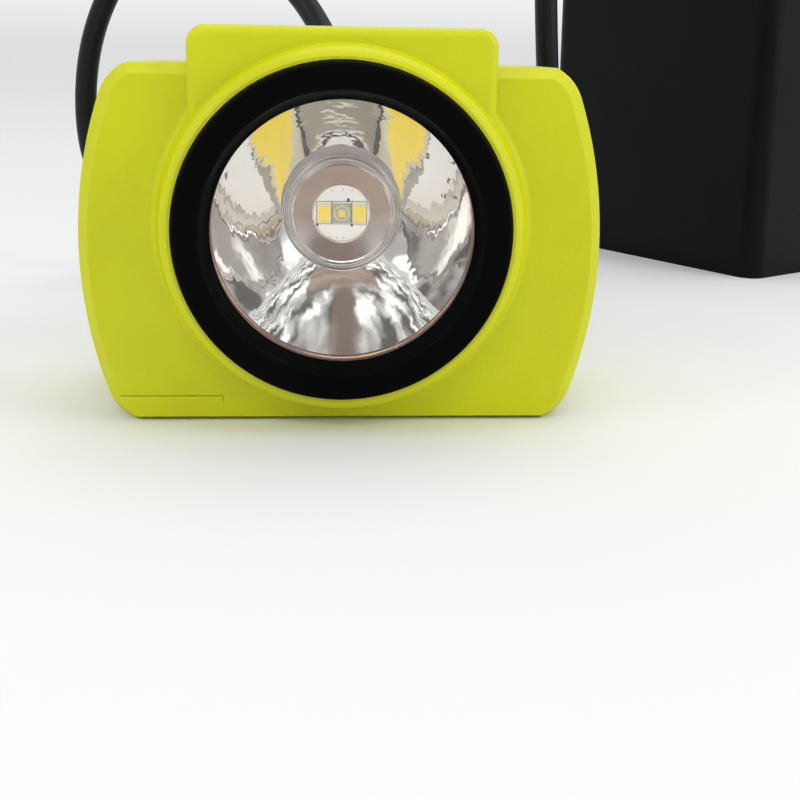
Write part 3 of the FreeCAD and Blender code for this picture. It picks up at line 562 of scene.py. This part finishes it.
CORD_RADIUS = 2.75
COIL_CENTRE = (0.0, 78.0)
COIL_RADIUS = 30.0
POINTS_PER_TURN = 16
# how far each turn lies outside the coil's middle radius, and above the floor layer
COIL_LANES = [(5.6, 0.0), (0.0, 0.0), (-5.6, 0.0), (-2.8, 4.9), (2.8, 4.9)]
LANE_CHANGE = 0.3    # the last part of each turn, in which it eases into the next lane
TIE_LIFT = 0.8
ROUTE_FRONT = [
    (0, 37, 54), (0, 53.5, 54), (-2, 68, 62), (-10, 77.5, 75), (-23, 84.5, 86), (-40, 91, 88.5),
    (-54.5, 97, 80.5), (-63, 102, 65.5), (-66.8, 106, 48), (-66, 108.5, 30.5), (-58.5, 111, 14.5),
    (-44, 112.6, 5), (-28.5, 113.6, 2.75), (-14, 113.8, 2.75),
]
ROUTE_REAR = [
    (14, 109.6, 8.4), (28, 107.6, 5.8), (40.4, 104.4, 6.4), (49.2, 99, 14.2), (53.2, 92.6, 25.8),
    (53.2, 87.2, 39.4), (51.4, 83.6, 53.8), (50.1, 82.1, 69), (49.4, 82.6, 84.6), (49, 84.7, 100.2),
    (48.2, 87.4, 116), (48.6, 90, 131.3), (54.2, 93.4, 145), (63.5, 99, 153.7), (74.9, 106.1, 157),
    (86.24, 113.2, 154.34),
]
SLEEVE_MOUTH = (95.3336, 118.8767, 145.9674)


def coil_points():
    """Turns wound clockwise seen from above, from the back of the ring, each easing into the next lane."""
    points = []
    # the spline cuts inside its control points, so they lie on a slightly larger circle
    swell = 1 / math.cos(math.pi / POINTS_PER_TURN)
    for step in range(1, len(COIL_LANES) * POINTS_PER_TURN):
        turn = step / POINTS_PER_TURN
        lane = int(turn)
        here = COIL_LANES[lane]
        there = COIL_LANES[min(lane + 1, len(COIL_LANES) - 1)]
        share = max(0.0, (turn - lane - (1 - LANE_CHANGE)) / LANE_CHANGE)
        ease = share * share * (3 - 2 * share)
        radius = (COIL_RADIUS + here[0] + (there[0] - here[0]) * ease) * swell
        angle = math.pi / 2 - 2 * math.pi * turn
        near_tie = max(0.0, -math.cos(angle)) ** 4
        height = CORD_RADIUS + here[1] + (there[1] - here[1]) * ease + TIE_LIFT * near_tie
        x, y = COIL_CENTRE[0] + radius * math.cos(angle), COIL_CENTRE[1] + radius * math.sin(angle)
        points.append((x, y, height))
    return points


def cable(materials):
    route = ROUTE_FRONT + coil_points() + ROUTE_REAR + [SLEEVE_MOUTH]
    curve = bpy.data.curves.new("cable", "CURVE")
    curve.dimensions = "3D"
    spline = curve.splines.new("NURBS")
    spline.points.add(len(route) - 1)
    for point, place in zip(spline.points, route):
        point.co = (*(c * MM for c in place), 1)
    spline.order_u = 3
    spline.use_endpoint_u = True
    spline.resolution_u = 10
    curve.bevel_depth = CORD_RADIUS * MM
    curve.bevel_resolution = 8
    curve.use_fill_caps = True
    obj = bpy.data.objects.new("cable", curve)
    bpy.context.scene.collection.objects.link(obj)
    curve.materials.append(materials["cable_jacket"])
    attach(obj, "lamp")
    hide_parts("cord_front", "cord_coil", "cord_rear")
    return obj


def coil_tie(materials):
    """A hook-and-loop band round the coil, with the free end lapped over on top."""
    inner_half, outer_half, round_by, half_width = 9.0, 9.8, 3.0, 6.0
    bottom, inner_bottom, inner_top, top = 0.0, 0.45, 11.15, 12.0
    lap_length, lap_thick = 12, 0.4
    centre_x = COIL_CENTRE[0] - COIL_RADIUS

    def section(half, low, high):
        """Points round a rectangle with rounded corners, in the plane across the coil's turns."""
        corners = ((1, high, 0), (-1, high, 90), (-1, low, 180), (1, low, 270))
        points = []
        for side, level, first in corners:
            level_in = level - round_by if level == high else level + round_by
            x, z = centre_x + side * (half - round_by), level_in
            for step in range(7):
                angle = math.radians(first + 15 * step)
                points.append((x + round_by * math.cos(angle), z + round_by * math.sin(angle)))
        return points

    work = bmesh.new()
    loops = []
    for across in (-half_width, half_width):
        for points in (section(inner_half, inner_bottom, inner_top), section(outer_half, bottom, top)):
            loops.append([work.verts.new(Vector((x, COIL_CENTRE[1] + across, z)) * MM) for x, z in points])
    for first, second in ((0, 1), (1, 3), (3, 2), (2, 0)):
        join_loops(work, loops[first], loops[second])
    block_into(work, (centre_x - 1.5, COIL_CENTRE[1], top + lap_thick / 2),
               (lap_length, 2 * half_width, lap_thick))
    return new_piece("coil_strap", finish_mesh("coil_strap", work), materials["tie_fabric"],
                     ["coil_tie"], rounding=0.12)


# ---------------------------------------------------------------- bezel, lens and reflector

BOWL_MOUTH, BOWL_NECK, BOWL_FRONT, BOWL_BACK, BOWL_WALL = 21.3, 9.3, -17.4, 1.5, 1.1
BOWL_STEPS = 72
FLANGE_BACK, FLANGE_RADIUS = BOWL_FRONT + 1.2, 23.1
LIP_DEPTH = 0.45
BOARD_FRONT = 1.4


def bowl_radius(y):
    share = (BOWL_BACK - y) / (BOWL_BACK - BOWL_FRONT)
    return math.sqrt(BOWL_NECK ** 2 + share * (BOWL_MOUTH ** 2 - BOWL_NECK ** 2))


def bezel(materials):
    """Flat-fronted ring with a rounded rim, chamfered inside down to the lens."""
    profile = [
        (-16.4, 26.8), (-22.9, 26.8), *arc_points((-23.2, 26.0), 0.8, 90, 180, 6), (-24.0, 25.9),
        (-24.0, 22.9), *arc_points((-23.5, 22.8), 0.5, 180, 250, 5), (-23.2, 22.15), (-21.8, 21.3),
        (-21.6, 20.9), (-21.0, 20.9), (-21.0, 23.3), (-16.4, 23.3),
    ]
    lathe("bezel", profile, AXIS_START, ALONG_Y, materials["bezel_black"], ["bezel_ring"])


def reflector_bowl(materials):
    """Parabola of revolution with a copper-toned lip, and the flange behind it."""
    depths = [BOWL_FRONT + (BOWL_BACK - BOWL_FRONT) * i / BOWL_STEPS for i in range(BOWL_STEPS + 1)]
    inner = [(y, bowl_radius(y)) for y in depths]
    outer = [(y, bowl_radius(y) + BOWL_WALL) for y in reversed(depths) if y > FLANGE_BACK]
    flange = [(FLANGE_BACK, bowl_radius(FLANGE_BACK) + BOWL_WALL), (FLANGE_BACK, FLANGE_RADIUS),
              (BOWL_FRONT, FLANGE_RADIUS)]
    bowl = lathe("reflector_mirror", inner + outer + flange, AXIS_START, ALONG_Y, materials["mirror_bowl"],
                 ["reflector"])
    bowl.data.materials.append(materials["bowl_lip_copper"])
    for face in bowl.data.polygons:
        if face.center.y < (BOWL_FRONT + LIP_DEPTH) * MM:
            face.material_index = 1


def deck(materials):
    """Metal collar round the LEDs: flat, with a rounded rim outside and a soft inner edge."""
    face, hole = 0.46, 4.95
    profile = [
        (BOARD_FRONT, 9.0), (1.3, 9.22), (1.0, 9.32), *arc_points((0.76, 8.9), 0.42, 90, 224, 10),
        (face, 8.5), (face, 8.44), (face, 5.4), (face, 5.32),
        *arc_points((face + 0.3, hole + 0.3), 0.3, 180, 270, 5), (BOARD_FRONT, hole),
    ]
    lathe("led_deck", profile, AXIS_START, ALONG_Y, materials["chrome_deck"], ["led_collar"])


def lens(materials):
    edge, front, back = 23.2, -21.0, -18.6
    profile = [(front, 0), (front, 20.6), (front + 0.25, edge - 0.2), (front + 0.5, edge),
               (back - 0.2, edge), (back, edge - 0.2), (back, 0)]
    lathe("lens_window", profile, AXIS_START, ALONG_Y, materials["lens_clear"], ["lens"])


# ---------------------------------------------------------------- LED board

BOARD_RADIUS, BOARD_THICK = 9.0, 1.6
TRACK_LEVEL = BOARD_FRONT - 0.02
LED_FRONT, LED_THICK = 0.7, 0.7
LED_MIDDLE = BOARD_FRONT - LED_THICK / 2
MAIN_LED = 3.45
SIDE_LED_PLACE, SIDE_LED_TALL = 3.1, 3.4
DOME_RADIUS = 1.3
# flat and upright tracks as (place, length), and test pads as (x, z, width, height), from the lens axis
TRACKS_FLAT = [(-2.0, 8.8), (2.0, 8.8)]
TRACKS_UPRIGHT = [(-4.45, 4.0), (4.45, 4.0)]
TRACKS_BETWEEN_LEDS = [(-1.79, 4.0), (1.79, 4.0)]
PADS = [(-4.3, -2.14, 0.36, 0.5), (1.8, -2.24, 0.4, 0.4), (1.15, 2.29, 0.5, 0.55)]
VIAS = [(-1.7, 4.0), (0.2, 4.15), (1.8, 4.0), (-2.1, -4.3), (-0.9, -4.5), (0.3, -4.5), (3.4, -2.3)]


def led_board(materials):
    """White board with outlined pads, thin tracks and small vias."""
    back = BOARD_FRONT + BOARD_THICK
    disc = [(BOARD_FRONT, 0), (BOARD_FRONT, BOARD_RADIUS - 0.1), (BOARD_FRONT + 0.1, BOARD_RADIUS),
            (back, BOARD_RADIUS), (back, 0)]
    lathe("led_board_disc", disc, AXIS_START, ALONG_Y, materials["led_board_white"],
          ["led_board"])
    tracks = [((0, TRACK_LEVEL, LENS_HEIGHT + z), (length, 0.06, 0.11)) for z, length in TRACKS_FLAT]
    tracks += [((x, TRACK_LEVEL, LENS_HEIGHT), (0.1, 0.06, length)) for x, length in TRACKS_UPRIGHT]
    tracks += [((x, BOARD_FRONT - 0.3, LENS_HEIGHT), (0.11, 0.6, length))
               for x, length in TRACKS_BETWEEN_LEDS]
    tracks += [((x, TRACK_LEVEL, LENS_HEIGHT + z), (wide, 0.08, tall)) for x, z, wide, tall in PADS]
    blocks("led_board_tracks", tracks, materials["board_trace"], rounding=0.02)
    work = bmesh.new()
    for x, z in VIAS:
        lathe_into(work, [(0, 0.05), (-0.07, 0.05), (-0.07, 0.1), (0, 0.12)],
                   (x, BOARD_FRONT, LENS_HEIGHT + z), ALONG_Y, turns=16)
    new_piece("led_board_vias", finish_mesh("led_board_vias", work), materials["bowl_lip_copper"])


def leds(materials):
    """A domed LED in the middle, and a flat one with a phosphor window on each side."""
    z = LENS_HEIGHT
    blocks("main_led_base", [((0, LED_MIDDLE, z), (MAIN_LED, LED_THICK, MAIN_LED))],
           materials["led_substrate"], ["main_led"], rounding=0.08)
    ring = [(LED_FRONT, 1.12), (LED_FRONT - 0.1, 1.14), (LED_FRONT - 0.1, 1.38), (LED_FRONT, 1.42)]
    lathe("main_led_ring", ring, AXIS_START, ALONG_Y, materials["led_package"])
    blocks("main_led_chip", [((0, LED_FRONT - 0.06, z), (1.25, 0.2, 1.25))], materials["led_phosphor"],
           rounding=0.06)
    dome = [(LED_FRONT + 0.02, 0)]
    for degrees in range(0, 91, 6):
        rise, out = math.sin(math.radians(degrees)), math.cos(math.radians(degrees))
        dome.append((LED_FRONT - DOME_RADIUS * rise, DOME_RADIUS * out))
    lathe("main_led_dome", dome, AXIS_START, ALONG_Y, materials["dome_silicone"])
    frames, windows = [], []
    for side in (-1, 1):
        x = side * SIDE_LED_PLACE
        for edge in (-1, 1):
            frames.append(((x + edge * 1.15, LED_MIDDLE, z), (0.2, LED_THICK, SIDE_LED_TALL)))
            frames.append(((x, LED_MIDDLE, z + edge * 1.54), (2.2, LED_THICK, 0.32)))
        windows.append(((x, LED_MIDDLE + 0.03, z), (2.14, 0.6, 2.8)))
    blocks("side_led_frames", frames, materials["led_package"], ["side_leds"], rounding=0.06)
    blocks("side_led_windows", windows, materials["led_phosphor"], rounding=0.04)


# ---------------------------------------------------------------- button and spring

BUTTON_Y = 2
SPRING_FOOT, SPRING_TURNS, SPRING_PITCH, SPRING_RADIUS, SPRING_WIRE = 53.95, 4, 1.05, 4.5, 0.28


def button(materials):
    """Rubber-topped plunger with a shallow dish, and the flange that keeps it in."""
    profile = [
        (58.6, 0), (58.6, 7.0), (58.8, 7.2), (59.6, 7.2), (59.8, 7.0), (59.8, 5.5),
        *arc_points((63.9, 4.8), 0.7, 90, 0, 8), (64.55, 4.4), (64.3, 4.1), (64.3, 3.8), (64.5, 3.5),
        (64.4, 1.6), (64.35, 0),
    ]
    lathe("button_top", profile, (0, BUTTON_Y, 0), UP, materials["rubber_black"],
          ["power_button"], body="button", turns=96)


def return_spring(materials):
    """Helical spring under the plunger."""
    steps, sides = 32 * SPRING_TURNS, 10
    work = bmesh.new()
    rings = []
    for step in range(steps + 1):
        angle = 2 * math.pi * SPRING_TURNS * step / steps
        out = Vector((math.cos(angle), math.sin(angle), 0))
        height = SPRING_FOOT + SPRING_PITCH * SPRING_TURNS * step / steps
        middle = Vector((0, BUTTON_Y, height)) + out * SPRING_RADIUS
        ring = []
        for side in range(sides):
            turn = 2 * math.pi * side / sides
            lean = out * math.cos(turn) + Vector((0, 0, math.sin(turn)))
            ring.append(work.verts.new((middle + lean * SPRING_WIRE) * MM))
        rings.append(ring)
    for here, there in zip(rings, rings[1:]):
        join_loops(work, here, there)
    work.faces.new(rings[0])
    work.faces.new(rings[-1])
    spring = new_piece("return_spring", finish_mesh("return_spring", work), materials["screw_steel"],
                       ["button_spring"])
    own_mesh(spring)


# ---------------------------------------------------------------- cable ends

RELIEF_RISE = math.radians(38)
PACK_YAW = math.radians(-58)
PACK_PLACE = (109.0, 151.0)
RELIEF_FOOT = (20.0, 10.0, 115.8)    # in the pack's own frame
# along the strain relief: where its core starts, where its ribs end, and where its sleeve ends
CORE_START, RIBS_END, SLEEVE_END = 5.0, 31.0, 49.0
RIBS, RIB_PITCH, RIB_RADIUS, RIB_TAPER, RIB_FOOT = 5, 4.9, 7.9, 0.42, 4.2
BOOT_RINGS, BOOT_PITCH = 4, 2.0


def pack_point(x, y, z):
    """A place on the battery pack, given in the pack's own frame."""
    across, along = math.cos(PACK_YAW), math.sin(PACK_YAW)
    return PACK_PLACE[0] + x * across - y * along, PACK_PLACE[1] + x * along + y * across, z


def relief(materials):
    """Ribbed strain relief: rings cut through on alternate sides, on a tapering core, then a sleeve."""
    foot = pack_point(*RELIEF_FOOT)
    axis = (math.sin(PACK_YAW) * math.cos(RELIEF_RISE), -math.cos(PACK_YAW) * math.cos(RELIEF_RISE),
            math.sin(RELIEF_RISE))
    core = [(CORE_START, 0), (CORE_START, 6.0), (RIBS_END - 0.3, 4.6), (RIBS_END, 4.3), (RIBS_END, 0)]
    lathe("relief_core", core, foot, axis, materials["rubber_black"], ["strain_relief"],
          turns=96)
    work = bmesh.new()
    for index in range(RIBS):
        along = CORE_START + 1.3 + RIB_PITCH * index
        radius = RIB_RADIUS - RIB_TAPER * index
        rib = [(along, RIB_FOOT), (along, radius - 0.5),
               *arc_points((along + 0.5, radius - 0.5), 0.5, 180, 90, 4),
               *arc_points((along + 2.4, radius - 0.6), 0.5, 90, 0, 4), (along + 2.9, RIB_FOOT)]
        for half in (0, 1):
            lathe_into(work, rib, foot, axis, turns=48, open_angle=math.radians(150),
                       open_start=math.radians(15 + 90 * (index % 2) + 180 * half))
    spine = [(CORE_START, RIB_FOOT), (CORE_START, 7.0), (RIBS_END - 3, 5.3), (RIBS_END - 3, RIB_FOOT)]
    for quarter in range(4):
        lathe_into(work, spine, foot, axis, turns=6, open_angle=math.radians(22),
                   open_start=math.radians(-11 + 45 + 90 * quarter))
    new_piece("relief_ribs", finish_mesh("relief_ribs", work), materials["rubber_black"],
              rounding=0.15)
    sleeve = [(RIBS_END, 0), (RIBS_END, 4.9), *arc_points((RIBS_END + 0.4, 4.6), 0.4, 180, 90, 4),
              (SLEEVE_END - 0.6, 4.4), *arc_points((SLEEVE_END - 0.6, 3.9), 0.5, 90, 0, 4), (SLEEVE_END, 0)]
    lathe("relief_sleeve", sleeve, foot, axis, materials["rubber_black"], ["cable_sleeve"],
          turns=96)


def gland(materials):
    """Tapered boot where the cable leaves the headpiece, with moulded rings."""
    profile = [(27.9, 0), (27.9, 4.8)]
    for index in range(BOOT_RINGS):
        at, radius = 28.5 + BOOT_PITCH * index, 4.75 - 0.28 * index
        profile += [(at, radius), (at + 0.2, radius - 0.45), (at + 0.8, radius - 0.5),
                    (at + 1.0, radius - 0.1)]
    profile += [(36.4, 3.6), (36.8, 3.5), (37.0, 3.2), (37.0, 0)]
    lathe("gland_boot", profile, (0, 0, ROUTE_FRONT[0][2]), ALONG_Y, materials["rubber_black"],
          ["cable_boot"], turns=96)


# ---------------------------------------------------------------- build

PAINTED = {
    "lime_plastic": ["front_housing", "rear_housing"],
    "case_black": ["pack_case", "pack_cap", "belt_loops"],
    "rubber_black": ["button_boot"],
    "seal_rubber": ["housing_seal", "lens_seal", "pack_seal"],
    "gland_plastic": ["cable_gland", "gland_nut"],
    "cell_frame": ["cell_tray", "cell_cover"],
    "cell_wrap": ["battery_cells"],
    "board_green": ["driver_board", "switch_board", "protection_board"],
    "chip_black": ["driver_parts", "board_parts", "tact_switch"],
    "brushed_steel": ["helmet_clip"],
    "screw_steel": ["housing_screws", "clip_screws", "pack_screws"],
    "brass_contact": ["charging_contacts"],
    "cast_alloy": ["heat_sink"],
}

materials = make_materials()
camera()
lights()
floor()
reflection_mat()

cord = cable(materials)
strap = coil_tie(materials)

for make in (bezel, reflector_bowl, deck, lens, led_board, leds, button, return_spring, relief, gland):
    make(materials)
for name, nodes in PAINTED.items():
    paint(nodes, materials[name])

bpy.context.scene.view_settings.view_transform = "Standard"
